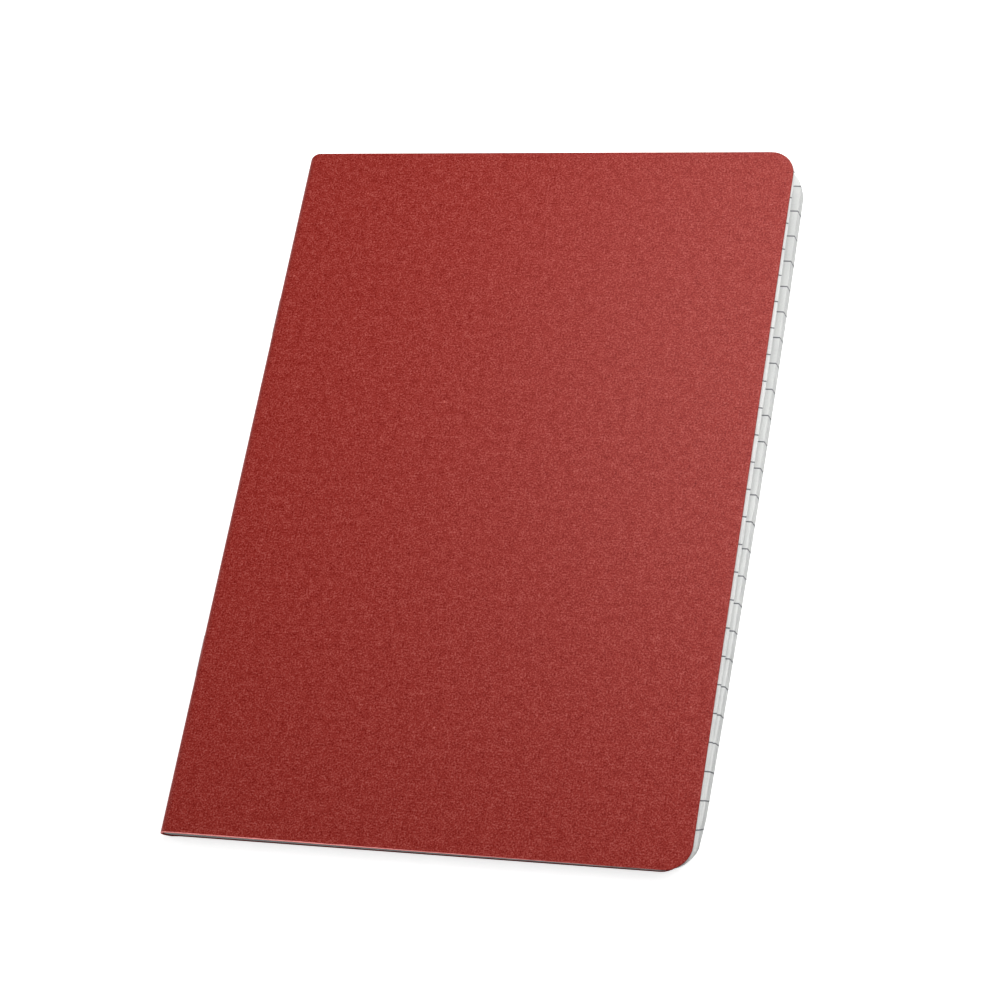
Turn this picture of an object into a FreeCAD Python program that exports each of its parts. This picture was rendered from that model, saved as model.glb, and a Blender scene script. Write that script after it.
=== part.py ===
import FreeCAD, Part
import os

import Sketcher

# A card-covered notepad that lies on its back cover. Every sub-part is drawn with X running from
# the spine to the fore edge, Y from the foot to the head and Z up from the table, and is then
# moved so that the middle of the whole footprint is the origin.

sizes = (
    ("cover_width", 140),       # spine fold to the fore edge of the card
    ("cover_height", 210),      # foot to head
    ("card_thickness", 0.4),
    ("corner_radius", 7),       # both fore-edge corners, card and paper
    ("block_thickness", 3.9),   # all the leaves, pressed flat
    ("fold_clearance", 0.1),    # between the paper and the card that wraps it
    ("cover_lift", 8.5),        # how far the head corner of the front cover springs up
    ("upper_leaves", 0.8),      # thickness of the leaves that rise with the front cover
    ("upper_overhang", 0.7),    # those leaves past the fore edge of the card
    ("foot_overhang", 1.5),     # the other leaves past the card, at the foot
    ("middle_overhang", 2.2),   # at half height
    ("head_overhang", 1.2),     # at the head
    ("leaf_gap", 7),            # the opening under the upper leaves, at the head corner
    ("gap_spine", 12),          # the opening starts this far from the spine
    ("gap_foot", 25),           # and this far from the foot
    ("slit_width", 0.05),       # the opening where it starts
    ("wire_diameter", 0.5),
    ("wire_clearance", 0.05),   # around the wire, in paper and card
    ("crown_length", 12),       # outside stretch of a staple, between its legs
    ("bend_radius", 0.5),       # of the wire's middle line
    ("clinch_gap", 2),          # between the two bent-in tips of a staple
    ("staple_inset", 52.5),     # foot or head edge to the middle of the nearer staple
)

doc = FreeCAD.newDocument("notepad")
sheet = doc.addObject("Spreadsheet::Sheet", "sizes")
for row, (alias, value) in enumerate(sizes, start=1):
    sheet.set(f"A{row}", alias)
    sheet.set(f"B{row}", str(value))
    sheet.setAlias(f"B{row}", alias)
doc.recompute()

# Expressions that several sub-parts share.
width = "sizes.cover_width"
height = "sizes.cover_height"
card = "sizes.card_thickness"
corner = "sizes.corner_radius"
fold_radius = f"((sizes.block_thickness + sizes.fold_clearance) / 2 + {card})"
inner_radius = f"({fold_radius} - {card})"
closed_height = f"(2 * {fold_radius})"
block_radius = "(sizes.block_thickness / 2)"
block_start = f"({fold_radius} + sizes.fold_clearance)"
block_middle = f"({card} + {block_radius})"
beyond = f"({width} + 10)"  # panels and leaves are drawn this far, then cut to length
margin = "5"  # how far a cut runs past what it cuts


def lift_at(x, y):
    """Height gained by the sprung cover and leaves at a place in plan."""
    return f"(sizes.cover_lift * ({x} - {fold_radius}) / ({width} - {fold_radius}) * ({y}) / {height})"


def gap_at(x, y):
    """Height of the opening between the upper leaves and the rest."""
    along_x = f"({x} - sizes.gap_spine) / ({width} - sizes.gap_spine)"
    along_y = f"({y} - sizes.gap_foot) / ({height} - sizes.gap_foot)"
    return f"(sizes.slit_width + sizes.leaf_gap * {along_x} * {along_y})"


def number(expression):
    return float(sheet.evalExpression(expression))


def new_body(name):
    return doc.addObject("PartDesign::Body", name)


def new_sketch(body, name, role, offset="0"):
    """A sketch on one of the body's own origin planes, moved along that plane's normal."""
    sketch = body.newObject("Sketcher::SketchObject", name)
    plane = next(feature for feature in body.Origin.OriginFeatures if feature.Role == role)
    sketch.AttachmentSupport = [(plane, "")]
    sketch.MapMode = "FlatFace"
    sketch.setExpression("AttachmentOffset.Base.z", offset)
    return sketch


def arc_between(start, end, radius):
    """The arc from start to end. It turns left, or right where the radius is negative."""
    chord = end - start
    side = FreeCAD.Vector(-chord.y, chord.x, 0)
    side.normalize()
    reach = max(abs(radius) ** 2 - (chord.Length / 2) ** 2, 0) ** 0.5
    centre = start + chord * 0.5 + side * (reach if radius > 0 else -reach)
    circle = Part.Circle(centre, FreeCAD.Vector(0, 0, 1), abs(radius))
    first, last = (start, end) if radius > 0 else (end, start)
    return Part.ArcOfCircle(circle, circle.parameter(first), circle.parameter(last))


def draw(sketch, corners, closed=True):
    """Draw lines and arcs through corners of (x, y) or (x, y, radius).

    The radius belongs to the arc that leaves the corner: it turns left, or right with a minus.
    """
    points = [FreeCAD.Vector(number(entry[0]), number(entry[1]), 0) for entry in corners]
    edges = len(points) if closed else len(points) - 1
    starts = []
    ends = []
    for index in range(edges):
        start = points[index]
        end = points[(index + 1) % len(points)]
        if len(corners[index]) == 2:
            sketch.addGeometry(Part.LineSegment(start, end), False)
            starts.append(1)
            ends.append(2)
            continue
        radius = number(corners[index][2])
        sketch.addGeometry(arc_between(start, end, radius), False)
        starts.append(1 if radius > 0 else 2)
        ends.append(2 if radius > 0 else 1)
    joints = edges if closed else edges - 1
    for index in range(joints):
        after = (index + 1) % edges
        sketch.addConstraint(
            Sketcher.Constraint("Coincident", index, ends[index], after, starts[after]))
    for index, entry in enumerate(corners):
        edge = min(index, edges - 1)
        end = starts[edge] if index < edges else ends[edge]
        for kind, expression in (("DistanceX", entry[0]), ("DistanceY", entry[1])):
            place = sketch.addConstraint(
                Sketcher.Constraint(kind, -1, 1, edge, end, number(expression)))
            sketch.setExpression(f"Constraints[{place}]", expression)
        if len(entry) == 3:
            bend = sketch.addConstraint(
                Sketcher.Constraint("Radius", index, abs(number(entry[2]))))
            sketch.setExpression(f"Constraints[{bend}]", f"abs({entry[2]})")


def pad(body, name, profile):
    """Extend a profile drawn on the foot plane up to the head."""
    feature = body.newObject("PartDesign::Pad", name)
    feature.Profile = profile
    feature.setExpression("Length", height)
    feature.Reversed = True
    return feature


def section(body, name, x, corners):
    """A four-sided section across the notepad, at a distance x from the spine."""
    sketch = new_sketch(body, name, "YZ_Plane", x)
    draw(sketch, corners)
    return sketch


def loft(body, kind, name, near, far):
    """Straight lines from one section to another, so a twisted face stays evenly twisted."""
    feature = body.newObject(kind, name)
    feature.Profile = near
    feature.Sections = [(far, [""])]
    feature.Ruled = True
    return feature


def trim_fore_edge(body, name, foot_edge, head_edge, bow=None):
    """Cut the fore edge to length with two rounded corners, straight or bowed between them."""
    waste = new_sketch(body, f"{name}_waste", "XY_Plane")
    draw(waste, (
        (f"{foot_edge} - {corner}", "0", corner),
        (foot_edge, corner, bow) if bow else (foot_edge, corner),
        (head_edge, f"{height} - {corner}", corner),
        (f"{head_edge} - {corner}", height),
        (f"{head_edge} - {corner}", f"{height} + {margin}"),
        (f"{beyond} + {margin}", f"{height} + {margin}"),
        (f"{beyond} + {margin}", f"-{margin}"),
        (f"{foot_edge} - {corner}", f"-{margin}"),
    ))
    trim = body.newObject("PartDesign::Pocket", name)
    trim.Profile = waste
    trim.Type = "ThroughAll"
    trim.Midplane = True


def build_back_cover():
    """The back half of the folded card: a flat panel and the lower quarter of the fold."""
    body = new_body("back_card")
    profile = new_sketch(body, "back_profile", "XZ_Plane")
    draw(profile, (
        ("0", fold_radius, fold_radius),
        (fold_radius, "0"),
        (beyond, "0"),
        (beyond, card),
        (fold_radius, card, f"-{inner_radius}"),
        (card, fold_radius),
    ))
    pad(body, "back_panel", profile)
    trim_fore_edge(body, "back_edge", width, width)
    return body


def build_spine_fold():
    """The upper quarter of the fold, from the stitched line to the crease of the front cover."""
    body = new_body("spine_card")
    profile = new_sketch(body, "spine_profile", "XZ_Plane")
    draw(profile, (
        (fold_radius, closed_height, fold_radius),
        ("0", fold_radius),
        (card, fold_radius, f"-{inner_radius}"),
        (fold_radius, f"{closed_height} - {card}"),
    ))
    pad(body, "spine_quarter", profile)
    return body


def build_front_cover():
    """The front half of the card, sprung up evenly towards the head of its fore edge."""
    body = new_body("front_card")
    ends = []
    for name, x in (("front_near", fold_radius), ("front_far", beyond)):
        rise = lift_at(x, height)
        ends.append(section(body, name, x, (
            ("0", f"{closed_height} - {card}"),
            (height, f"{closed_height} - {card} + {rise}"),
            (height, f"{closed_height} + {rise}"),
            ("0", closed_height),
        )))
    loft(body, "PartDesign::AdditiveLoft", "front_panel", *ends)
    trim_fore_edge(body, "front_edge", width, width)
    return body


def build_pages():
    """All the leaves as one block, rounded at the spine and open towards the head corner."""
    body = new_body("leaves")
    spine = new_sketch(body, "block_spine", "XZ_Plane")
    left = f"{block_start} - {block_radius}"
    top = f"{card} + sizes.block_thickness"
    draw(spine, (
        (block_start, top, block_radius),
        (left, block_middle, block_radius),
        (block_start, card),
    ))
    pad(body, "spine_round", spine)

    ends = []
    for name, x in (("block_near", block_start), ("block_far", beyond)):
        ends.append(section(body, name, x, (
            ("0", card),
            (height, card),
            (height, f"{top} + {lift_at(x, height)}"),
            ("0", top),
        )))
    loft(body, "PartDesign::AdditiveLoft", "block", *ends)

    # The fore edge bulges gently between its two rounded corners.
    foot_edge = f"({width} + sizes.foot_overhang)"
    head_edge = f"({width} + sizes.head_overhang)"
    chord = f"sqrt(({height} - 2 * {corner})^2 + ({foot_edge} - {head_edge})^2)"
    bulge = "(sizes.middle_overhang - (sizes.foot_overhang + sizes.head_overhang) / 2)"
    bow = f"({chord}^2 / 4 + {bulge}^2) / (2 * {bulge})"
    trim_fore_edge(body, "fore_edge", foot_edge, head_edge, bow)

    # The opening under the upper leaves, and the step where the lower leaves reach further out.
    def under_upper(x, y):
        return f"{top} - sizes.upper_leaves + {lift_at(x, y)}"

    start = "sizes.gap_foot"
    finish = f"({height} + {margin})"
    ends = []
    for name, x in (("gap_near", "sizes.gap_spine"), ("gap_far", beyond)):
        ends.append(section(body, name, x, (
            (start, f"{under_upper(x, start)} - {gap_at(x, start)}"),
            (finish, f"{under_upper(x, finish)} - {gap_at(x, finish)}"),
            (finish, under_upper(x, finish)),
            (start, under_upper(x, start)),
        )))
    loft(body, "PartDesign::SubtractiveLoft", "opening", *ends)

    before = f"-{margin}"
    overhead = f"({closed_height} + 2 * sizes.cover_lift)"
    ends = []
    for name, x in (("step_near", f"({width} + sizes.upper_overhang)"), ("step_far", beyond)):
        ends.append(section(body, name, x, (
            (before, f"{under_upper(x, before)} - sizes.slit_width / 2"),
            (finish, f"{under_upper(x, finish)} - sizes.slit_width / 2"),
            (finish, overhead),
            (before, overhead),
        )))
    loft(body, "PartDesign::SubtractiveLoft", "step", *ends)
    return body


def build_wire(name, middle, radius, allowance="0"):
    """A closed staple: crown outside the fold, legs through it and tips bent in."""
    body = new_body(name)
    half_crown = "sizes.crown_length / 2"
    bend = "sizes.bend_radius"
    inside = f"({block_start} + sizes.wire_diameter / 2)"
    tip = f"(sizes.clinch_gap / 2 - {allowance})"
    low = f"({middle} - {half_crown})"
    high = f"({middle} + {half_crown})"
    path = new_sketch(body, f"{name}_path", "XY_Plane", fold_radius)
    draw(path, (
        (inside, f"{middle} - {tip}"),
        (inside, f"{low} + {bend}", f"-{bend}"),
        (f"{inside} - {bend}", low),
        (bend, low, f"-{bend}"),
        ("0", f"{low} + {bend}"),
        ("0", f"{high} - {bend}", f"-{bend}"),
        (bend, high),
        (f"{inside} - {bend}", high, f"-{bend}"),
        (inside, f"{high} - {bend}"),
        (inside, f"{middle} + {tip}"),
    ), closed=False)
    profile = new_sketch(body, f"{name}_round", "XZ_Plane", f"{tip} - ({middle})")
    profile.addGeometry(Part.Circle(
        FreeCAD.Vector(number(inside), number(fold_radius), 0),
        FreeCAD.Vector(0, 0, 1), number(radius)), False)
    for kind, expression in (("DistanceX", inside), ("DistanceY", fold_radius)):
        place = profile.addConstraint(Sketcher.Constraint(kind, -1, 1, 0, 3, number(expression)))
        profile.setExpression(f"Constraints[{place}]", expression)
    size = profile.addConstraint(Sketcher.Constraint("Radius", 0, number(radius)))
    profile.setExpression(f"Constraints[{size}]", radius)
    wire = body.newObject("PartDesign::AdditivePipe", f"{name}_wire")
    wire.Profile = profile
    wire.Spine = (path, [""])
    return body


staple_middles = {
    "staple_foot": "sizes.staple_inset",
    "staple_head": f"({height} - sizes.staple_inset)",
}
wire_radius = "(sizes.wire_diameter / 2)"
sub_parts = {
    name: build_wire(f"{name}_body", middle, wire_radius)
    for name, middle in staple_middles.items()
}
holes = doc.addObject("Part::MultiFuse", "staple_holes")
holes.Shapes = [
    build_wire(f"{name}_hole", middle, f"({wire_radius} + sizes.wire_clearance)",
               "sizes.wire_clearance")
    for name, middle in staple_middles.items()
]

# Paper and card are pierced by the staples. The front cover ends at its crease, clear of them.
sub_parts["front_cover"] = build_front_cover()
for name, whole in (
    ("back_cover", build_back_cover()),
    ("spine_fold", build_spine_fold()),
    ("page_block", build_pages()),
):
    pierced = doc.addObject("Part::Cut", f"{name}_pierced")
    pierced.Base = whole
    pierced.Tool = holes
    sub_parts[name] = pierced

for name, piece in sub_parts.items():
    piece.Label = name
    piece.setExpression(
        "Placement.Base.x", f"({wire_radius} - {width} - sizes.middle_overhang) / 2")
    piece.setExpression("Placement.Base.y", f"-{height} / 2")
doc.recompute()

for item in doc.Objects:
    if "Invalid" in item.State or "Error" in item.State:
        raise RuntimeError(f"{item.Label} failed to build: {item.State}")
os.makedirs("parts", exist_ok=True)
for name, piece in sub_parts.items():
    shape = piece.Shape
    if shape.isNull() or not shape.isValid() or len(shape.Solids) != 1:
        raise RuntimeError(f"{name} is not one valid solid")
for name, piece in sub_parts.items():
    piece.Shape.exportStep(f"parts/{name}.step")
    box = piece.Shape.optimalBoundingBox()
    print(f"{name}: {piece.Shape.Volume:.2f} mm3, {box.XLength:.2f} x {box.YLength:.2f} x {box.ZLength:.2f}")
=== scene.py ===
import bpy
import math
import random
from mathutils import Matrix, Vector


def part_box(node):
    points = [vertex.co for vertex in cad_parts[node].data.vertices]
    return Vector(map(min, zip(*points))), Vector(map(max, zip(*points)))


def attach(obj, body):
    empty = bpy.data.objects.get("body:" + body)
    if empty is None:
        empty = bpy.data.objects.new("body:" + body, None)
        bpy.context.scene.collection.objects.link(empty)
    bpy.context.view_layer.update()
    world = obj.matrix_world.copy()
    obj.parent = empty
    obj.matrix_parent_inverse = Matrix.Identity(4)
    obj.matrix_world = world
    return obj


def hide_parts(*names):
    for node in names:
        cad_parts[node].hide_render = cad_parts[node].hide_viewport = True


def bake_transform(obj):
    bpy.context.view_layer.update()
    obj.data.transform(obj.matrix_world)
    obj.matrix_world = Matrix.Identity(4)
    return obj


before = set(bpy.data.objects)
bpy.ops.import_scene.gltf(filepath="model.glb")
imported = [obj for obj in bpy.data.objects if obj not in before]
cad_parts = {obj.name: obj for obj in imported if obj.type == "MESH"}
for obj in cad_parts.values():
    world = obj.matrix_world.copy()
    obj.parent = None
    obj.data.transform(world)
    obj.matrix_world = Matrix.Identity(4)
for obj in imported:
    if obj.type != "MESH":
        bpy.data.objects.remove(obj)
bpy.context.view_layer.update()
print("frame loaded")

mm = 0.001
backLow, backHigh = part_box("back_cover")

# Where the notepad lies: X from the spine to the fore edge, Y from the foot to the head.
spineX = backLow.x
foreX = backHigh.x
footY = backLow.y
headY = backHigh.y
foldRadius = backHigh.z  # the back cover ends half way up the fold, on the stitched line
closedTop = 2 * foldRadius
creaseX = spineX + foldRadius
quarterFold = math.pi / 2 * foldRadius


def clamped(value):
    return min(max(value, 0), 1)


def screen(red, green, blue):  # a colour as a screen shows it, turned into light
    return tuple(
        part / 12.92 if part <= 0.04045 else ((part + 0.055) / 1.055) ** 2.4
        for part in (red / 255, green / 255, blue / 255)
    ) + (1,)


# Camera, looking down on the notepad from over its foot.

view = {
    "aim": (1.244 * mm, 0.076 * mm, 0),
    "azimuth": 28.466,
    "elevation": 58.379,
    "roll": 21.704,
    "distance": 1.0929,
    "lens": 147.79,  # on a 36 mm wide sensor
}


def makeCamera():
    turn = math.radians(view["azimuth"])
    rise = math.radians(view["elevation"])
    back = Vector((math.sin(turn) * math.cos(rise), -math.cos(turn) * math.cos(rise), math.sin(rise)))
    data = bpy.data.cameras.new("view")
    data.lens = view["lens"]
    camera = bpy.data.objects.new("view", data)
    bpy.context.scene.collection.objects.link(camera)
    placed = Matrix.Translation(Vector(view["aim"]) + back * view["distance"])
    aimed = (-back).to_track_quat("-Z", "Y").to_matrix().to_4x4()
    rolled = Matrix.Rotation(math.radians(-view["roll"]), 4, "Z")
    camera.matrix_world = placed @ aimed @ rolled
    bpy.context.scene.camera = camera
    print("camera done")


# Lights and floor: a soft key from behind, a weaker lamp on each side, a dim room and a white table
# that glows, so that shadows stay light. It throws little of that glow on the notepad.

studio = {
    "floorSize": 6.0,
    "floorDrop": 0.05 * mm,  # below the card, so that the two never share a plane
    "floorTint": screen(221, 221, 221),
    "floorRoughness": 0.9,
    "floorGlow": 0.7,
    "floorSpill": 0.146,  # share of the glow that lights other things
    "lamps": {  # place, width and power in watts
        "keyLight": ((0.03, 0.230, 0.356), 0.32, 1.16),
        "foreEdgeLight": ((0.204, 0.022, 0.20), 0.32, 0.57),
        "spineLight": ((-0.45, -0.10, 0.28), 0.30, 0.70),
    },
    "roomLight": 0.235,
}


def makeLight(name, place, width, power):
    data = bpy.data.lights.new(name, "AREA")
    data.shape = "DISK"
    data.size = width
    data.energy = power
    light = bpy.data.objects.new(name, data)
    light.location = place
    light.rotation_mode = "QUATERNION"
    light.rotation_quaternion = (-Vector(place)).to_track_quat("-Z", "Y")
    light.visible_camera = False
    bpy.context.scene.collection.objects.link(light)


def makeStudio():
    for name, (place, width, power) in studio["lamps"].items():
        makeLight(name, place, width, power)
    world = bpy.data.worlds.new("room")
    world.use_nodes = True
    room = world.node_tree.nodes["Background"]
    room.inputs["Strength"].default_value = studio["roomLight"]
    room.inputs["Color"].default_value = (1, 1, 1, 1)
    bpy.context.scene.world = world
    half = studio["floorSize"] / 2
    level = -studio["floorDrop"]
    corners = [(-half, -half, level), (half, -half, level), (half, half, level), (-half, half, level)]
    data = bpy.data.meshes.new("floor")
    data.from_pydata(corners, [], [(0, 1, 2, 3)])
    floor = bpy.data.objects.new("floor", data)
    bpy.context.scene.collection.objects.link(floor)
    floor.data.materials.append(plainFloor())
    bpy.context.scene.view_settings.view_transform = "Standard"
    print("studio done")


# Material helpers. An input is given as a value or as the socket that drives it.

def setInputs(tree, node, inputs):
    for name, value in inputs.items():
        if isinstance(value, bpy.types.NodeSocket):
            tree.links.new(value, node.inputs[name])
        else:
            node.inputs[name].default_value = value
    return node


def addNode(tree, kind, inputs, **settings):
    node = tree.nodes.new(kind)
    for name, value in settings.items():
        setattr(node, name, value)
    return setInputs(tree, node, inputs)


def newMaterial(name):
    material = bpy.data.materials.new(name)
    material.use_nodes = True
    tree = material.node_tree
    tree.nodes.clear()
    shader = addNode(tree, "ShaderNodeBsdfPrincipled", {})
    addNode(tree, "ShaderNodeOutputMaterial", {"Surface": shader.outputs["BSDF"]})
    return material, tree, shader


def newGroup(name, inputs, outputs):
    group = bpy.data.node_groups.new(name, "ShaderNodeTree")
    for label, kind in inputs:
        group.interface.new_socket(name=label, in_out="INPUT", socket_type=kind)
    for label in outputs:
        group.interface.new_socket(name=label, in_out="OUTPUT", socket_type="NodeSocketFloat")
    start = group.nodes.new("NodeGroupInput")
    end = group.nodes.new("NodeGroupOutput")
    return group, start.outputs, end


def useGroup(tree, group, **inputs):
    return addNode(tree, "ShaderNodeGroup", inputs, node_tree=group).outputs


def remap(tree, value, low, high, newLow=0.0, newHigh=1.0, smooth=False):
    inputs = {"Value": value, "From Min": low, "From Max": high, "To Min": newLow, "To Max": newHigh}
    kind = "SMOOTHSTEP" if smooth else "LINEAR"
    return addNode(tree, "ShaderNodeMapRange", inputs, interpolation_type=kind).outputs["Result"]


def blendColour(tree, share, first, second):
    # The Mix node's factor and its two colours are its sockets 0, 6 and 7.
    return addNode(tree, "ShaderNodeMix", {0: share, 6: first, 7: second}, data_type="RGBA").outputs[2]


def maths(tree, kind, first, second):
    return addNode(tree, "ShaderNodeMath", {0: first, 1: second}, operation=kind).outputs[0]


def mixed(tree, first, second, share):  # this share of the first, and the rest of the second
    firstPart = maths(tree, "MULTIPLY", first, share)
    secondPart = maths(tree, "MULTIPLY", second, 1 - share)
    return maths(tree, "ADD", firstPart, secondPart)


def noise(tree, place, scale, detail, roughness, distortion=0.0):
    inputs = {"Vector": place, "Scale": scale, "Detail": detail, "Roughness": roughness,
              "Distortion": distortion}
    return addNode(tree, "ShaderNodeTexNoise", inputs).outputs["Fac"]


def raised(tree, height, strength, distance):
    inputs = {"Height": height, "Strength": strength, "Distance": distance}
    return addNode(tree, "ShaderNodeBump", inputs).outputs["Normal"]


def flatPlace(tree):  # metres along and across the unfolded sheet
    return addNode(tree, "ShaderNodeUVMap", {}, uv_map="sheet").outputs["UV"]


# Shared effect: felted paper fibres, with fine grain, short threads, slow clouds and a few pale specks.

fibre = {
    "grain": (1.0, 0.6),  # detail and roughness of the noise
    "threads": (3.0, 0.7, 1.6),  # and its distortion
    "clouds": (3.0, 0.6),
    "specks": (1.0, 0.5),
    "threadScale": 0.45,  # times the grain's scale
    "speckScale": 0.35,
    "grainShare": 0.68,  # the rest is threads
    "grainRange": (0.32, 0.68),  # part of the noise that is stretched to the full range
    "cloudRange": (0.3, 0.7),
    "speckRange": (0.75, 0.82),
}


def makeFibreGroup():
    group, given, end = newGroup(
        "pulpFibres",
        [("Place", "NodeSocketVector"), ("GrainScale", "NodeSocketFloat"), ("CloudScale", "NodeSocketFloat")],
        ["Grain", "Cloud", "Speck"])
    place = given["Place"]
    threadScale = maths(group, "MULTIPLY", given["GrainScale"], fibre["threadScale"])
    speckScale = maths(group, "MULTIPLY", given["GrainScale"], fibre["speckScale"])
    fine = noise(group, place, given["GrainScale"], *fibre["grain"])
    threads = noise(group, place, threadScale, *fibre["threads"])
    grain = mixed(group, fine, threads, fibre["grainShare"])
    cloud = noise(group, place, given["CloudScale"], *fibre["clouds"])
    speck = noise(group, place, speckScale, *fibre["specks"])
    setInputs(group, end, {
        "Grain": remap(group, grain, *fibre["grainRange"]),
        "Cloud": remap(group, cloud, *fibre["cloudRange"]),
        "Speck": remap(group, speck, *fibre["speckRange"], smooth=True),
    })
    return group


# Shared effect: evenly spaced lines across the sheet, 1 where there is ink.

lineSoftness = 0.15  # share of a line's width that its edge fades over, each way


def makeRulingGroup():
    group, given, end = newGroup(
        "ruledLines",
        [("Place", "NodeSocketVector"), ("Pitch", "NodeSocketFloat"), ("First", "NodeSocketFloat"),
         ("Last", "NodeSocketFloat"), ("Weight", "NodeSocketFloat")],
        ["Ink"])
    height = addNode(group, "ShaderNodeSeparateXYZ", {"Vector": given["Place"]}).outputs["Y"]
    halfPitch = maths(group, "MULTIPLY", given["Pitch"], 0.5)
    halfWeight = maths(group, "MULTIPLY", given["Weight"], 0.5)
    soft = maths(group, "MULTIPLY", given["Weight"], lineSoftness)
    above = maths(group, "SUBTRACT", height, given["First"])
    distance = maths(group, "PINGPONG", above, halfPitch)
    inked = maths(group, "SUBTRACT", halfWeight, soft)
    blank = maths(group, "ADD", halfWeight, soft)
    line = remap(group, distance, inked, blank, 1.0, 0.0)
    started = maths(group, "GREATER_THAN", above, maths(group, "MULTIPLY", halfPitch, -1.0))
    stopped = maths(group, "LESS_THAN", height, maths(group, "ADD", given["Last"], halfPitch))
    ruled = maths(group, "MULTIPLY", line, started)
    setInputs(group, end, {"Ink": maths(group, "MULTIPLY", ruled, stopped)})
    return group


# Shared effect: painted light on the card's edges. A painted highlight lies in a strip along the foot, which
# narrows towards the fore edge, and painted light lies along the fold; both are patchy.

paintedLight = {
    "patches": (240.0, 3.0, 0.6),  # scale, detail and roughness of the noise
    "narrowFrom": 35 * mm,  # past the crease
    "narrowTo": 120 * mm,
    "narrowest": 0.2,
    "patchRange": (0.3, 0.7),
    "raggedness": (0.7, 1.3),  # the strip's width varies between these shares
    "fade": (0.7, 1.2),  # shares of the width between which the wear fades
    "foldLightPeak": 0.8,  # on the stitched line
    "foldLightEnd": 0.3,  # share of the fold, next to the crease, that gets no painted light
    "foldLightRange": (0.35, 0.65),
    "foldLightPatches": (0.5, 1.0),
}


def makePaintedLightGroup():
    group, given, end = newGroup(
        "paintedEdgeLight", [("Place", "NodeSocketVector"), ("Width", "NodeSocketFloat")], ["FootHighlight", "FoldLight"])
    place = addNode(group, "ShaderNodeSeparateXYZ", {"Vector": given["Place"]}).outputs
    patches = noise(group, given["Place"], *paintedLight["patches"])
    narrowing = remap(group, place["X"], paintedLight["narrowFrom"], paintedLight["narrowTo"], 1.0, paintedLight["narrowest"])
    ragged = remap(group, patches, *paintedLight["patchRange"], *paintedLight["raggedness"])
    reach = maths(group, "MULTIPLY", maths(group, "MULTIPLY", given["Width"], narrowing), ragged)
    near = maths(group, "DIVIDE", place["Y"], reach)
    foldLightEnd = -paintedLight["foldLightEnd"] * quarterFold
    folded = remap(group, place["X"], -quarterFold, foldLightEnd, paintedLight["foldLightPeak"], 0.0, smooth=True)
    uneven = remap(group, patches, *paintedLight["foldLightRange"], *paintedLight["foldLightPatches"])
    setInputs(group, end, {
        # painted highlight along the foot
        "FootHighlight": remap(group, near, *paintedLight["fade"], 1.0, 0.0, smooth=True),
        # painted light along the fold, strongest on the stitched line
        "FoldLight": maths(group, "MULTIPLY", folded, uneven),
    })
    return group


fibreGroup = makeFibreGroup()
rulingGroup = makeRulingGroup()
paintedLightGroup = makePaintedLightGroup()
print("shared effects done")


def usePulp(tree, place, settings):
    # A sheet's fibres, and the tone that their grain and clouds give it.
    pulp = useGroup(tree, fibreGroup, Place=place,
                    GrainScale=settings["grainScale"], CloudScale=settings["cloudScale"])
    return pulp, mixed(tree, pulp["Grain"], pulp["Cloud"], settings["grainShare"])


def plainFloor():
    material, tree, shader = newMaterial("paleFloor")
    seen = addNode(tree, "ShaderNodeLightPath", {}).outputs["Is Camera Ray"]
    spill = studio["floorSpill"]
    setInputs(tree, shader, {
        "Base Color": studio["floorTint"],
        "Roughness": studio["floorRoughness"],
        "Specular IOR Level": 0.0,
        "Emission Color": blendColour(tree, seen, (spill, spill, spill, 1), (1, 1, 1, 1)),
        "Emission Strength": studio["floorGlow"],
    })
    return material


# Settings of the card cover. Tones are dark, middle and pale, and relief is the depth of the grain.

card = {
    "thickness": 0.4 * mm,
    "cornerRadius": 7 * mm,
    "edgeRounding": 0.07 * mm,
    "sharpAngle": 50,  # degrees, above which an edge is shaded sharp
    "spring": 8.5 * mm,  # height that the head corner of the front cover gains
    "wave": 0.05 * mm,  # slow unevenness of the front cover
    "waveStart": 30 * mm,  # past the crease, where the unevenness is full
    "waveLengths": (17 * mm, 26 * mm),  # of its two swells, for one radian
    "waveSlants": ((0.8, 0.35), (-0.3, 0.9)),  # how each runs along X and Y
    "waveOffset": 1.3,  # radians between the two
    "bendFrom": -0.3 * mm,  # the front cover opens over this stretch, measured from the crease
    "bendTo": 1.2 * mm,
    "outside": {
        "tones": (screen(104, 2, 0), screen(139, 40, 33), screen(175, 87, 80)),
        "roughness": 0.31,
        "relief": 0.019 * mm,
    },
    # the cut edge's own red, darkened as painted shade along the cover's edge
    "cut": {
        "tones": (screen(108, 24, 19), screen(132, 40, 35), screen(158, 62, 56)),
        "roughness": 0.85,
        "relief": 0.03 * mm,
    },
    "inside": {
        "tones": (screen(124, 30, 24), screen(154, 62, 56), screen(184, 94, 88)),
        "roughness": 0.8,
        "relief": 0.018 * mm,
    },
    "speck": screen(182, 88, 80),
    "foldLightTone": screen(198, 76, 67),  # painted light along the fold
    # pale tone of a painted highlight along the foot's edge
    "footHighlight": screen(250, 158, 154),
    "footHighlightFront": 0.26 * mm,  # width along the foot of the painted highlight
    "footHighlightBack": 0.03 * mm,
    "grainScale": 2200,
    "cloudScale": 420,
    "grainShare": 0.8,  # of the tone, the rest is clouds
    "roughnessSpread": (-0.06, 0.08),  # from the smoothest grain to the roughest
    "gloss": 0.11,
}


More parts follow.
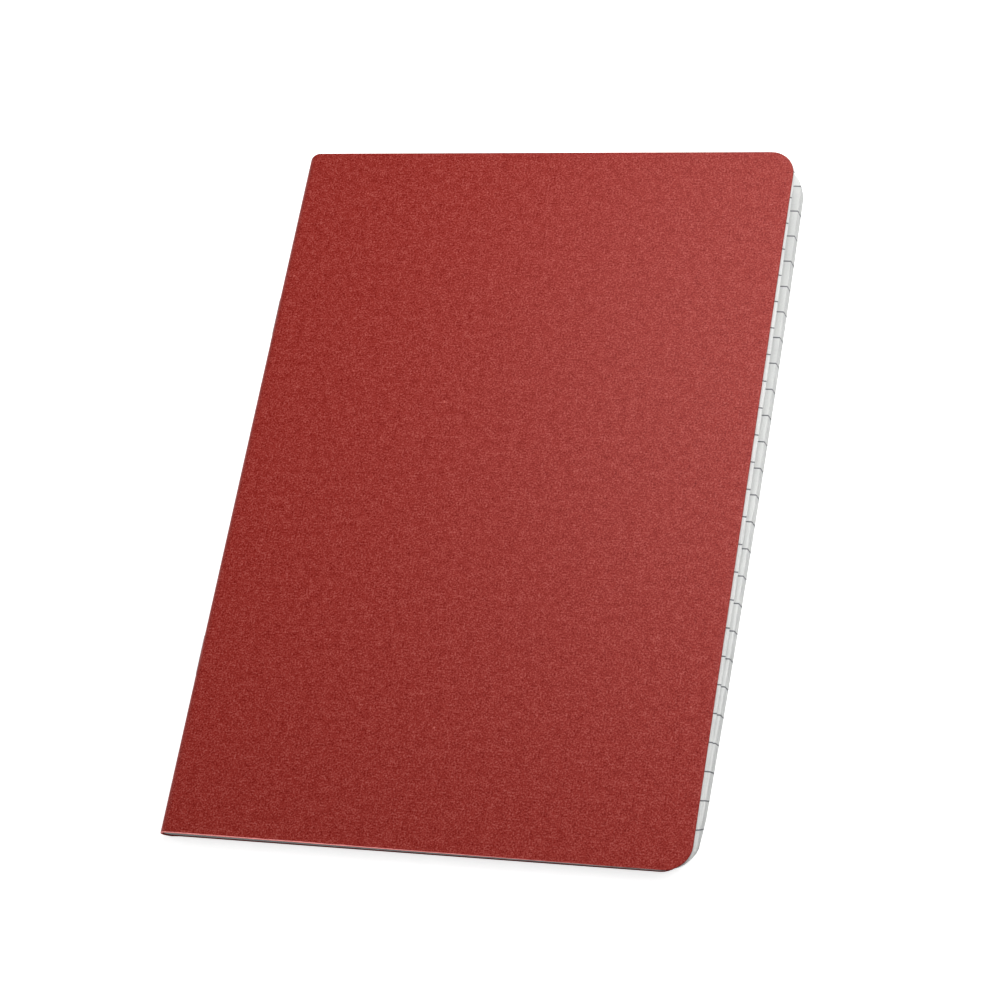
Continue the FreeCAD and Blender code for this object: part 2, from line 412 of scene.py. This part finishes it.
def dyedCard(name, finish, footHighlight):
    material, tree, shader = newMaterial(name)
    place = flatPlace(tree)
    pulp, tone = usePulp(tree, place, card)
    # painted highlight along the foot and painted light along the fold
    edgeLit = useGroup(tree, paintedLightGroup, Place=place, Width=footHighlight)
    dark, middle, pale = finish["tones"]
    base = blendColour(tree, remap(tree, tone, 0, 0.5), dark, middle)
    base = blendColour(tree, remap(tree, tone, 0.5, 1), base, pale)
    base = blendColour(tree, pulp["Speck"], base, card["speck"])
    # painted light along the fold
    base = blendColour(tree, edgeLit["FoldLight"], base, card["foldLightTone"])
    smoothest, roughest = (finish["roughness"] + spread for spread in card["roughnessSpread"])
    setInputs(tree, shader, {
        # painted highlight along the foot's edge
        "Base Color": blendColour(tree, edgeLit["FootHighlight"], base, card["footHighlight"]),
        "Roughness": remap(tree, pulp["Grain"], 0, 1, smoothest, roughest),
        "Specular IOR Level": card["gloss"],
        "Normal": raised(tree, pulp["Grain"], 1.0, finish["relief"]),
    })
    return material


paper = {
    "thickness": 0.088 * mm,
    "white": screen(220, 221, 219),
    "shade": screen(206, 207, 206),
    # the cut edges' tones and ink are darker than the faces', partly as a stack's edge looks and partly as
    # painted shade on the leaves' sides
    "edgeWhite": screen(204, 205, 204),
    "edgeShade": screen(174, 175, 175),
    "ink": screen(96, 98, 104),
    "inkEdge": screen(84, 86, 90),
    "pitch": 8.017 * mm,
    "firstLine": 11.54 * mm,  # above the foot
    "lines": 25,
    "lineWeight": 0.36 * mm,
    "grainScale": 1800,
    "cloudScale": 160,
    "grainShare": 0.5,  # of the tone, the rest is clouds
    "roughness": (0.74, 0.86),
    "gloss": 0.3,
    "reliefStrength": 0.6,
    "relief": 0.004 * mm,
}


def ruledPaper(name, white, shade, ink):
    material, tree, shader = newMaterial(name)
    place = flatPlace(tree)
    pulp, tone = usePulp(tree, place, paper)
    lastLine = paper["firstLine"] + (paper["lines"] - 1) * paper["pitch"]
    lines = useGroup(tree, rulingGroup, Place=place, Pitch=paper["pitch"], First=paper["firstLine"],
                     Last=lastLine, Weight=paper["lineWeight"])
    base = blendColour(tree, tone, shade, white)
    setInputs(tree, shader, {
        "Base Color": blendColour(tree, lines["Ink"], base, ink),
        "Roughness": remap(tree, pulp["Grain"], 0, 1, *paper["roughness"]),
        "Specular IOR Level": paper["gloss"],
        "Normal": raised(tree, pulp["Grain"], paper["reliefStrength"], paper["relief"]),
    })
    return material


wire = {
    "bright": screen(206, 207, 209),
    "dull": screen(164, 165, 168),
    "streakScale": (9000, 350, 9000),  # drawn out along the crown
    "streaks": (1.0, 4.0, 0.6),  # scale, detail and roughness of the noise
    "streakRange": (0.3, 0.7),
    "roughness": (0.4, 0.24),  # dull and bright
    "reliefStrength": 0.4,
    "relief": 0.004 * mm,
    "radius": 0.25 * mm,
    "clearance": 0.05 * mm,
    "crown": 12 * mm,  # between the middles of the legs
    "inset": 52.5 * mm,  # head or foot edge to the middle of the staple
}
stapleMiddles = (footY + wire["inset"], headY - wire["inset"])


def drawnSteel():
    material, tree, shader = newMaterial("drawnSteel")
    place = addNode(tree, "ShaderNodeTexCoord", {}).outputs["Object"]
    along = addNode(tree, "ShaderNodeMapping", {"Vector": place, "Scale": wire["streakScale"]})
    streaks = noise(tree, along.outputs["Vector"], *wire["streaks"])
    tone = remap(tree, streaks, *wire["streakRange"])
    setInputs(tree, shader, {
        "Base Color": blendColour(tree, tone, wire["dull"], wire["bright"]),
        "Roughness": remap(tree, tone, 0, 1, *wire["roughness"]),
        "Metallic": 1.0,
        "Normal": raised(tree, tone, wire["reliefStrength"], wire["relief"]),
    })
    return material


# The foot's edges step back going down, as in a pad that lies a little askew under its cover, and
# at the fore edge the lower leaves and the back cover draw in towards the foot's corner.

foot = {
    "stepAtFold": 1.05 * mm,
    "stepAtForeEdge": 1.4 * mm,
    "reach": 42 * mm,  # towards the head, where the step has faded
    "tuck": 0.14 * mm,  # the back cover lies this much further in
    "tuckStart": 2 * mm,  # past the crease, where it does so in full
    "cornerTuck": 2.9 * mm,
    "cornerReach": 13 * mm,  # from the corner, both ways
}

# The fold's end at the head is knocked in and round, as on a pad that has been dropped on it.

headBump = {
    "depth": 1.4 * mm,
    "width": 3.2 * mm,  # from the spine
    "length": 9 * mm,  # from the head
}


def footFade(y):  # 1 at the foot
    return max(1 - (y - footY) / foot["reach"], 0)


def cornerTuckAt(y):
    return foot["cornerTuck"] * max(1 - (y - footY) / foot["cornerReach"], 0) ** 2


def bumpedIn(x, y):
    near = clamped(1 - (x - spineX) / headBump["width"])
    beside = clamped((y - headY + headBump["length"]) / headBump["length"])
    return headBump["depth"] * (1 - math.cos(near * math.pi / 2)) * beside * beside


def steppedBack(x, y, z):
    share = (x - spineX) / (foreX - spineX)
    step = foot["stepAtFold"] + (foot["stepAtForeEdge"] - foot["stepAtFold"]) * share
    depth = clamped(1 - z / closedTop)
    return x, y + step * depth * footFade(y) - bumpedIn(x, y), z


# Sheets: a grid of rows from foot to head and columns along the sheet, with a face on each side.

edgeBends = (30, 60, 90)  # degrees round a rounded edge


def sheetRows(footEnd, headEnd, radius, parts, between):
    # Each row is where its corner's middle lies and how its end leans from there.
    turns = [math.pi / 2 * part / parts for part in range(parts + 1)]
    rows = [(footEnd + radius, -math.cos(turn), math.sin(turn)) for turn in turns]
    rows += [(y, 0, 1) for y in between if footEnd + radius < y < headEnd - radius]
    rows += [(headEnd - radius, math.cos(turn), math.sin(turn)) for turn in reversed(turns)]
    return rows


def gridPoint(sheet, row, column, inset):
    # Distance along the sheet and place from foot to head of a grid point, drawn in by the inset.
    middle, lean, reach = row
    radius = sheet["cornerRadius"]
    y = middle + (radius - inset) * lean
    kind, value = column
    if kind == "at":
        return value, y
    near, end = sheet[kind]
    tip = end(y) - radius + (radius - inset) * reach
    far = near + value * (tip - near) if kind == "finish" else near - value * (tip + near)
    return far, y


def buildSheet(sheet):
    rows = sheet["rows"]
    columns = sheet["columns"]
    thickness = sheet["thickness"]
    rounding = sheet["edgeRounding"]
    bends = [math.radians(bend) for bend in edgeBends] if rounding else []
    curve = [(rounding * (1 - math.sin(bend)), rounding * (1 - math.cos(bend))) for bend in bends]
    rings = curve + [(inset, thickness - depth) for inset, depth in reversed(curve)]
    points = []
    flat = []
    faces = []
    slots = []

    def addPoint(row, column, inset, depth):
        along, y = gridPoint(sheet, row, column, inset)
        points.append(sheet["place"](along, y, depth))
        flat.append((along + depth, y - footY + depth + sheet["drift"](along)))
        return len(points) - 1

    outer = [[addPoint(row, column, rounding, 0) for column in columns] for row in rows]
    inner = [[addPoint(row, column, rounding, thickness) for column in columns] for row in rows]
    for r in range(len(rows) - 1):
        for c in range(len(columns) - 1):
            faces.append((outer[r][c], outer[r][c + 1], outer[r + 1][c + 1], outer[r + 1][c]))
            slots.append(0)
            faces.append((inner[r][c], inner[r + 1][c], inner[r + 1][c + 1], inner[r][c + 1]))
            slots.append(2)
    last = len(columns) - 1
    loop = [(0, c) for c in range(last)] + [(r, last) for r in range(len(rows) - 1)]
    loop += [(len(rows) - 1, c) for c in range(last, 0, -1)] + [(r, 0) for r in range(len(rows) - 1, 0, -1)]
    strips = [[outer[r][c] for r, c in loop]]
    for inset, depth in rings:
        strips.append([addPoint(rows[r], columns[c], inset, depth) for r, c in loop])
    strips.append([inner[r][c] for r, c in loop])
    for upper, lower in zip(strips, strips[1:]):
        for index in range(len(loop)):
            after = (index + 1) % len(loop)
            faces.append((upper[after], upper[index], lower[index], lower[after]))
            slots.append(sheet["nearSlot"] if loop[index][1] == loop[after][1] == 0 else 1)
    if sheet["mirrored"]:
        faces = [tuple(reversed(face)) for face in faces]
    return points, flat, faces, slots


def makePiece(name, parts, materials, sharpAngle):
    # One object from several sheets, each a closed skin. Materials are for outside, cut and inside.
    points = []
    flat = []
    faces = []
    slots = []
    for partPoints, partFlat, partFaces, partSlots in parts:
        offset = len(points)
        points += partPoints
        flat += partFlat
        faces += [tuple(index + offset for index in face) for face in partFaces]
        slots += partSlots
    data = bpy.data.meshes.new(name)
    data.from_pydata(points, [], faces)
    layer = data.uv_layers.new(name="sheet")
    for loop in data.loops:
        layer.data[loop.index].uv = flat[loop.vertex_index]
    for material in materials:
        data.materials.append(material)
    for polygon, slot in zip(data.polygons, slots):
        polygon.material_index = slot
        polygon.use_smooth = True
    data.set_sharp_from_angle(angle=math.radians(sharpAngle))
    data.validate()
    piece = bpy.data.objects.new(name, data)
    bpy.context.scene.collection.objects.link(piece)
    return piece


# Card cover: one folded sheet, modelled as two halves that meet on the stitched line.

cardGrid = {  # how finely a half is divided
    "stitchColumns": 7,  # in a staple's groove, beside the stitched line
    "stitchStep": 0.06 * mm,
    "foldParts": 12,
    "foldStart": 2,  # the first of them that is past the groove
    "creaseColumns": (-3, 12),  # counted from the crease
    "creaseStep": 0.12 * mm,
    "panelColumns": 31,
    "panelStart": 2 * mm,  # past the crease
    "panelStep": 4 * mm,
    "edgeShares": (0.25, 0.5, 0.75, 0.9, 1),  # from the last panel column to the fore edge
    "stapleRows": (-2, 6),  # counted from each end of a staple
    "stapleStep": 0.07 * mm,
    "evenRows": 39,
    "rowStart": 10 * mm,  # from the foot
    "rowStep": 5 * mm,
    "rowGap": 0.5 * mm,  # even rows nearer than this to a staple's rows are left out
    "cornerParts": 9,
}


def springAt(x, y):
    alongX = max((x - creaseX) / (foreX - creaseX), 0)
    return card["spring"] * alongX * (y - footY) / (headY - footY)


def waveAt(x, y):
    fade = clamped((x - creaseX) / card["waveStart"])
    short, long = card["waveLengths"]
    (shortX, shortY), (longX, longY) = card["waveSlants"]
    swell = math.sin((x * shortX + y * shortY) / short)
    swell += math.sin((x * longX + y * longY) / long + card["waveOffset"])
    return card["wave"] * fade * (2 + swell) / 4  # from nothing to the full height


def grooveAt(fromStitches, y):
    # Depth that a staple's crown is pressed into the card.
    room = wire["radius"] + wire["clearance"]
    halfCrown = wire["crown"] / 2 + room
    for middle in stapleMiddles:
        past = max(abs(y - middle) - halfCrown + room, 0)
        across = math.hypot(fromStitches, past) / room
        if across < 1:
            return room * math.sqrt(1 - across * across)
    return 0


def cardPlace(side):
    thickness = card["thickness"]

    def place(along, y, depth):
        if along < 0:
            groove = grooveAt(along + quarterFold, y)
            radius = foldRadius - groove - depth * (thickness - groove) / thickness
            turn = along / foldRadius
            x = creaseX + radius * math.sin(turn)
            return steppedBack(x, y, foldRadius + side * radius * math.cos(turn))
        x = creaseX + along
        if side > 0:
            return steppedBack(x, y, closedTop - depth + springAt(x, y) + waveAt(x, y))
        tuck = foot["tuck"] * min(along / foot["tuckStart"], 1) * footFade(y)
        beside = clamped((x - foreX) / foot["cornerReach"] + 1)
        return steppedBack(x - cornerTuckAt(y) * beside, y + tuck, depth)

    return place


def cardHalf(side):  # 1 for the front, -1 for the back
    grid = cardGrid
    foldParts = grid["foldParts"]
    stitched = [-quarterFold + step * grid["stitchStep"] for step in range(grid["stitchColumns"])]
    fold = [-quarterFold + part * quarterFold / foldParts for part in range(grid["foldStart"], foldParts)]
    crease = [step * grid["creaseStep"] for step in range(*grid["creaseColumns"])]
    panel = [grid["panelStart"] + step * grid["panelStep"] for step in range(grid["panelColumns"])]
    columns = [("at", along) for along in stitched + fold + crease + panel]
    columns += [("finish", share) for share in grid["edgeShares"]]
    fromMiddle = [wire["crown"] / 2 + step * grid["stapleStep"] for step in range(*grid["stapleRows"])]
    stapleRows = [middle + end * far for middle in stapleMiddles for end in (-1, 1) for far in fromMiddle]
    evenRows = [footY + grid["rowStart"] + step * grid["rowStep"] for step in range(grid["evenRows"])]
    evenRows = [y for y in evenRows if min(abs(y - other) for other in stapleRows) > grid["rowGap"]]
    between = sorted(stapleRows + evenRows)
    return buildSheet({
        "rows": sheetRows(footY, headY, card["cornerRadius"], grid["cornerParts"], between),
        "columns": columns,
        "cornerRadius": card["cornerRadius"],
        "finish": (panel[-1], lambda y: foreX - creaseX),
        "thickness": card["thickness"],
        "edgeRounding": card["edgeRounding"],
        "nearSlot": 2,  # the end on the stitched line isn't a cut edge
        "place": cardPlace(side),
        "drift": lambda along: 0,
        "mirrored": side < 0,
    })


def makeCover():
    inside = dyedCard("cardInside", card["inside"], card["footHighlightBack"])
    skins = {}
    for side, footHighlight in (("front", card["footHighlightFront"]), ("back", card["footHighlightBack"])):
        outside = dyedCard(side + "Outside", card["outside"], footHighlight)
        cut = dyedCard(side + "Cut", card["cut"], footHighlight)
        skins[side] = [outside, cut, inside]
    front = makePiece("frontCard", [cardHalf(1)], skins["front"], card["sharpAngle"])
    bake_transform(front)
    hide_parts("front_cover", "spine_fold")
    back = makePiece("backCard", [cardHalf(-1)], skins["back"], card["sharpAngle"])
    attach(back, "back")
    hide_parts("back_cover")
    print("cover done")


# Leaves: ruled sheets nested inside each other and folded once.

block = {
    "sheets": 20,
    "upper": 8,  # leaves that rise with the front cover
    "thickness": 3.9 * mm,
    "bottom": 0.4 * mm,
    "foldGap": 0.1 * mm,  # between the paper and the card round it
    "upperOverhang": 0.85 * mm,  # past the card, for the lowest of the upper leaves
    "upperHeadOverhang": 0.2 * mm,
    "upperFade": 50 * mm,  # from the head, where the upper leaves' overhang starts to shrink
    "topLeafShare": 0.1,  # of that overhang
    "footOverhang": 0.95 * mm,  # of the lower leaves
    "middleOverhang": 1.9 * mm,
    "headOverhang": 0.95 * mm,
    "opening": 7 * mm,  # under the upper leaves at the head corner
    "openingSpine": 12 * mm,  # from the fold
    "openingFoot": 25 * mm,
    "fan": (0.3, 1.0),  # least and most that a lower leaf spreads, before its height counts
    "fanBase": 0.5,
    "droop": 0.4 * mm,  # how far the upper leaves hang away from the front cover
    "droopMiddle": 12 * mm,
    "droopReach": 62 * mm,
    "inkDrift": 0.4,  # lines move this far to the head for each unit of depth
    "raggedness": 0.07 * mm,
    "footShort": 0.42 * mm,  # the leaves end this far inside the card
    "sharpAngle": 40,
    "seed": 11,
}
leafGrid = {  # how finely a sheet is divided
    "foldParts": 6,  # in each quarter of the fold
    "columns": (0.6, 4, 9.4, 26, 44, 62, 80, 98, 112, 122),  # millimetres past the fold
    "edgeShares": (0.4, 0.75, 0.92, 1),  # from the last column to the fore edge
    "rows": (16, 25, 45, 65, 85, 105, 125, 145, 165, 185),  # millimetres from the foot
    "cornerParts": 7,
}
leafStep = block["thickness"] / (2 * block["sheets"])
roundX = spineX + foldRadius + block["foldGap"]
roundZ = block["bottom"] + block["thickness"] / 2
lowerLeaves = 2 * block["sheets"] - block["upper"]


def foreEdgeAt(y):  # how far the lower leaves stand out past the card
    share = (y - footY) / (headY - footY)
    straight = block["footOverhang"] + (block["headOverhang"] - block["footOverhang"]) * share
    bulge = block["middleOverhang"] - (block["footOverhang"] + block["headOverhang"]) / 2
    return straight + 4 * bulge * share * (1 - share) - cornerTuckAt(y)


def upperEdgeAt(y):
    share = clamped((headY - y) / block["upperFade"])
    return block["upperHeadOverhang"] + (block["upperOverhang"] - block["upperHeadOverhang"]) * share


def openingAt(x, y):
    alongX = (x - spineX - block["openingSpine"]) / (foreX - spineX - block["openingSpine"])
    alongY = (y - footY - block["openingFoot"]) / (headY - footY - block["openingFoot"])
    return block["opening"] * max(alongX, 0) * max(alongY, 0)


def droopAt(x, y):
    alongX = max((x - creaseX) / (foreX - creaseX), 0)
    fade = max(1 - ((y - block["droopMiddle"]) / block["droopReach"]) ** 2, 0)
    return block["droop"] * alongX ** 2 * fade


def fanShares(rng):  # how the lower leaves share out the room that they have to spread in
    shares = [0]
    for index in range(lowerLeaves):
        shares.append(shares[-1] + rng.uniform(*block["fan"]) * (block["fanBase"] + index / lowerLeaves))
    return [share / shares[-1] for share in shares]


def foldedSheet(index, shares, rng):
    radius = roundZ - block["bottom"] - index * leafStep
    quarter = math.pi / 2 * radius
    topLeaf = 2 * block["sheets"] - 1 - index  # counted from the bottom
    ragged = {side: rng.uniform(-1, 1) * block["raggedness"] for side in ("start", "finish", "foot", "head")}

    def heightOf(count, x, y):
        # Height of the surface with that many leaves under it.
        if count > lowerLeaves:
            return block["bottom"] + count * leafStep + springAt(x, y) - droopAt(x, y)
        room = max(springAt(x, y) - openingAt(x, y), 0)
        return block["bottom"] + count * leafStep + room * shares[count]

    def place(along, y, depth):
        if abs(along) <= quarter:
            turn = along / radius
            x = roundX - (radius - depth) * math.cos(turn)
            return steppedBack(x, y, roundZ + (radius - depth) * math.sin(turn))
        x = roundX + abs(along) - quarter
        if along > 0:
            return steppedBack(x, y, heightOf(topLeaf + 1, x, y) - depth)
        return steppedBack(x, y, heightOf(index, x, y) + depth)

    def drift(along):
        share = clamped((along / quarter + 1) / 2)
        lowDepth = block["thickness"] - index * leafStep
        highDepth = index * leafStep
        return -block["inkDrift"] * (lowDepth + (highDepth - lowDepth) * share)

    def lowerEnd(y):
        return quarter + foreX - roundX + foreEdgeAt(y) + ragged["start"]

    def higherEnd(y):
        overhang = foreEdgeAt(y)
        if index < block["upper"]:
            least = block["topLeafShare"]
            overhang = upperEdgeAt(y) * (least + (1 - least) * index / (block["upper"] - 1))
        return quarter + foreX - roundX + overhang + ragged["finish"]

    flats = [quarter + far * mm for far in leafGrid["columns"]]
    foldParts = leafGrid["foldParts"]
    bend = [quarter * part / foldParts for part in range(-foldParts, foldParts + 1)]
    columns = [("start", share) for share in reversed(leafGrid["edgeShares"])]
    columns += [("at", -along) for along in reversed(flats)]
    columns += [("at", along) for along in bend + flats]
    columns += [("finish", share) for share in leafGrid["edgeShares"]]
    footEnd = footY + block["footShort"] + ragged["foot"]
    headEnd = headY + ragged["head"]
    between = [footY + far * mm for far in leafGrid["rows"]]
    return buildSheet({
        "rows": sheetRows(footEnd, headEnd, card["cornerRadius"], leafGrid["cornerParts"], between),
        "columns": columns,
        "cornerRadius": card["cornerRadius"],
        "start": (-flats[-1], lowerEnd),
        "finish": (flats[-1], higherEnd),
        "thickness": paper["thickness"],
        "edgeRounding": 0,
        "nearSlot": 1,
        "place": place,
        "drift": drift,
        "mirrored": False,
    })


def makeLeaves():
    rng = random.Random(block["seed"])
    shares = fanShares(rng)
    face = ruledPaper("writingPaper", paper["white"], paper["shade"], paper["ink"])
    # the cut edges, darker than the faces, partly as painted shade
    cut = ruledPaper("paperCutShaded", paper["edgeWhite"], paper["edgeShade"], paper["inkEdge"])
    sheets = [foldedSheet(index, shares, rng) for index in range(block["sheets"])]
    leaves = makePiece("leaves", sheets, [face, cut, face], block["sharpAngle"])
    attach(leaves, "pages")
    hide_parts("page_block")
    print("leaves done,", len(leaves.data.polygons), "faces")


# Staples: the frame's own solids, with a wire's finish.

def finishStaples():
    steel = drawnSteel()
    for name in ("staple_head", "staple_foot"):
        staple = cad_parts[name]
        staple.data.materials.clear()
        staple.data.materials.append(steel)
    print("staples done")


makeCamera()
makeStudio()
makeCover()
makeLeaves()
finishStaples()
